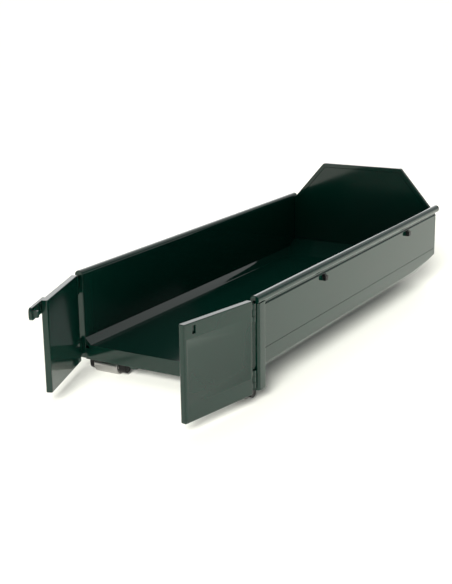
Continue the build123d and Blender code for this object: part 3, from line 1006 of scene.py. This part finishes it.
def light(scene, name, kind, strength, place):
    """Lamp at a place, facing the origin."""
    lamp = bpy.data.lights.new(name, kind)
    lamp.energy = strength
    made = bpy.data.objects.new(name, lamp)
    made.location = place
    made.rotation_euler = place.to_track_quat("Z", "Y").to_euler()
    scene.collection.objects.link(made)
    return made


def surroundings(settings):
    """World of even light, brighter near the floor and in two places ahead."""
    world = bpy.data.worlds.new("Studio")
    world.use_nodes = True
    sky = Nodes(world.node_tree)
    towards = sky.node("ShaderNodeTexCoord", {}, {}, output="Generated")
    up = sky.node("ShaderNodeSeparateXYZ", {}, {"Vector": towards}, output="Z")

    def lobe(direction, low, high):
        facing = sky.node(
            "ShaderNodeVectorMath", {"operation": "DOT_PRODUCT"}, {0: towards, 1: direction}, output="Value")
        return sky.mask(facing, low, high)

    gain = settings.horizon * (1 - sky.mask(up, *HORIZON)) + settings.window * lobe(*WINDOW)
    gain += settings.highlight * lobe(*SCREEN)
    background = world.node_tree.nodes["Background"]
    sky.feed(background.inputs["Color"], (1, 1, 1, 1))
    sky.feed(background.inputs["Strength"], settings.sky + gain)
    return world


class CONTAINER_OT_stage(PieceOperator, bpy.types.Operator):
    """Pale floor, soft studio light and the camera."""

    bl_idname = "container.stage"
    bl_label = "Stage"

    def execute(self, context):
        settings = context.scene.container_stage
        scene = context.scene
        bm = bmesh.new()
        bmesh.ops.create_grid(bm, x_segments=1, y_segments=1, size=FLOOR_REACH)
        mesh = bpy.data.meshes.new("studio_floor")
        bm.to_mesh(mesh)
        bm.free()
        floor = bpy.data.objects.new("studio_floor", mesh)
        scene.collection.objects.link(floor)
        finish = Finish("Matt floor")
        finish.set(
            Base_Color=shade(settings.floor, 1), Roughness=0.95, Specular_IOR_Level=0.0,
            Emission_Color=(1, 1, 1, 1), Emission_Strength=settings.floor_glow)
        mesh.materials.append(finish.material)

        scene.world = surroundings(settings)
        scene.view_settings.view_transform = "Standard"

        overhead = light(scene, "overhead", "AREA", settings.lamp, OVERHEAD)
        overhead.data.shape = "SQUARE"
        overhead.data.size = settings.lamp_size
        beside = light(scene, "over_floor", "SUN", settings.floor_lamp, BESIDE)
        beside.data.angle = settings.floor_lamp_spread
        lit = bpy.data.collections.new("Lit by over_floor")
        lit.objects.link(floor)
        beside.light_linking.receiver_collection = lit

        camera = bpy.data.cameras.new("camera")
        camera.lens = settings.lens
        camera.sensor_width = 36
        camera.clip_start = 0.01
        viewer = bpy.data.objects.new("camera", camera)
        viewer.matrix_world = (
            Matrix.Translation(settings.place)
            @ Matrix.Rotation(settings.heading - pi / 2, 4, "Z")
            @ Matrix.Rotation(pi / 2 - settings.pitch, 4, "X")
            @ Matrix.Rotation(settings.roll, 4, "Z")
        )
        scene.collection.objects.link(viewer)
        scene.camera = viewer
        return {"FINISHED"}


OPERATORS = (
    CONTAINER_OT_finishes,
    CONTAINER_OT_floor_pan,
    CONTAINER_OT_side_walls,
    CONTAINER_OT_top_rails,
    CONTAINER_OT_rear_posts,
    CONTAINER_OT_rear_sill,
    CONTAINER_OT_front_wall,
    CONTAINER_OT_runners,
    CONTAINER_OT_cross_members,
    CONTAINER_OT_hook_frame,
    CONTAINER_OT_rollers,
    CONTAINER_OT_rope_hooks,
    CONTAINER_OT_hinges,
    CONTAINER_OT_doors,
    CONTAINER_OT_latch,
    CONTAINER_OT_stage,
)


class CONTAINER_PT_panel(bpy.types.Panel):
    """Sidebar panel with the settings and the pieces, in building order."""

    bl_label = "Roll-off Container"
    bl_space_type = "VIEW_3D"
    bl_region_type = "UI"
    bl_category = "Container"

    def draw(self, context):
        for key, group in SETTINGS.items():
            box = self.layout.box()
            box.label(text=group.__doc__)
            for name in group.__annotations__:
                box.prop(getattr(context.scene, key), name)
        for operator in OPERATORS:
            self.layout.operator(operator.bl_idname)


def register():
    for group in SETTINGS.values():
        bpy.utils.register_class(group)
    for key, group in SETTINGS.items():
        setattr(bpy.types.Scene, key, PointerProperty(type=group))
    for operator in OPERATORS:
        bpy.utils.register_class(operator)
    bpy.utils.register_class(CONTAINER_PT_panel)


def unregister():
    bpy.utils.unregister_class(CONTAINER_PT_panel)
    for operator in reversed(OPERATORS):
        bpy.utils.unregister_class(operator)
    for key in SETTINGS:
        delattr(bpy.types.Scene, key)
    for group in reversed(SETTINGS.values()):
        bpy.utils.unregister_class(group)


def main():
    """Register the add-on and build every piece in order."""
    register()
    for operator in OPERATORS:
        group, name = operator.bl_idname.split(".")
        getattr(getattr(bpy.ops, group), name)()


if __name__ == "__main__":
    main()
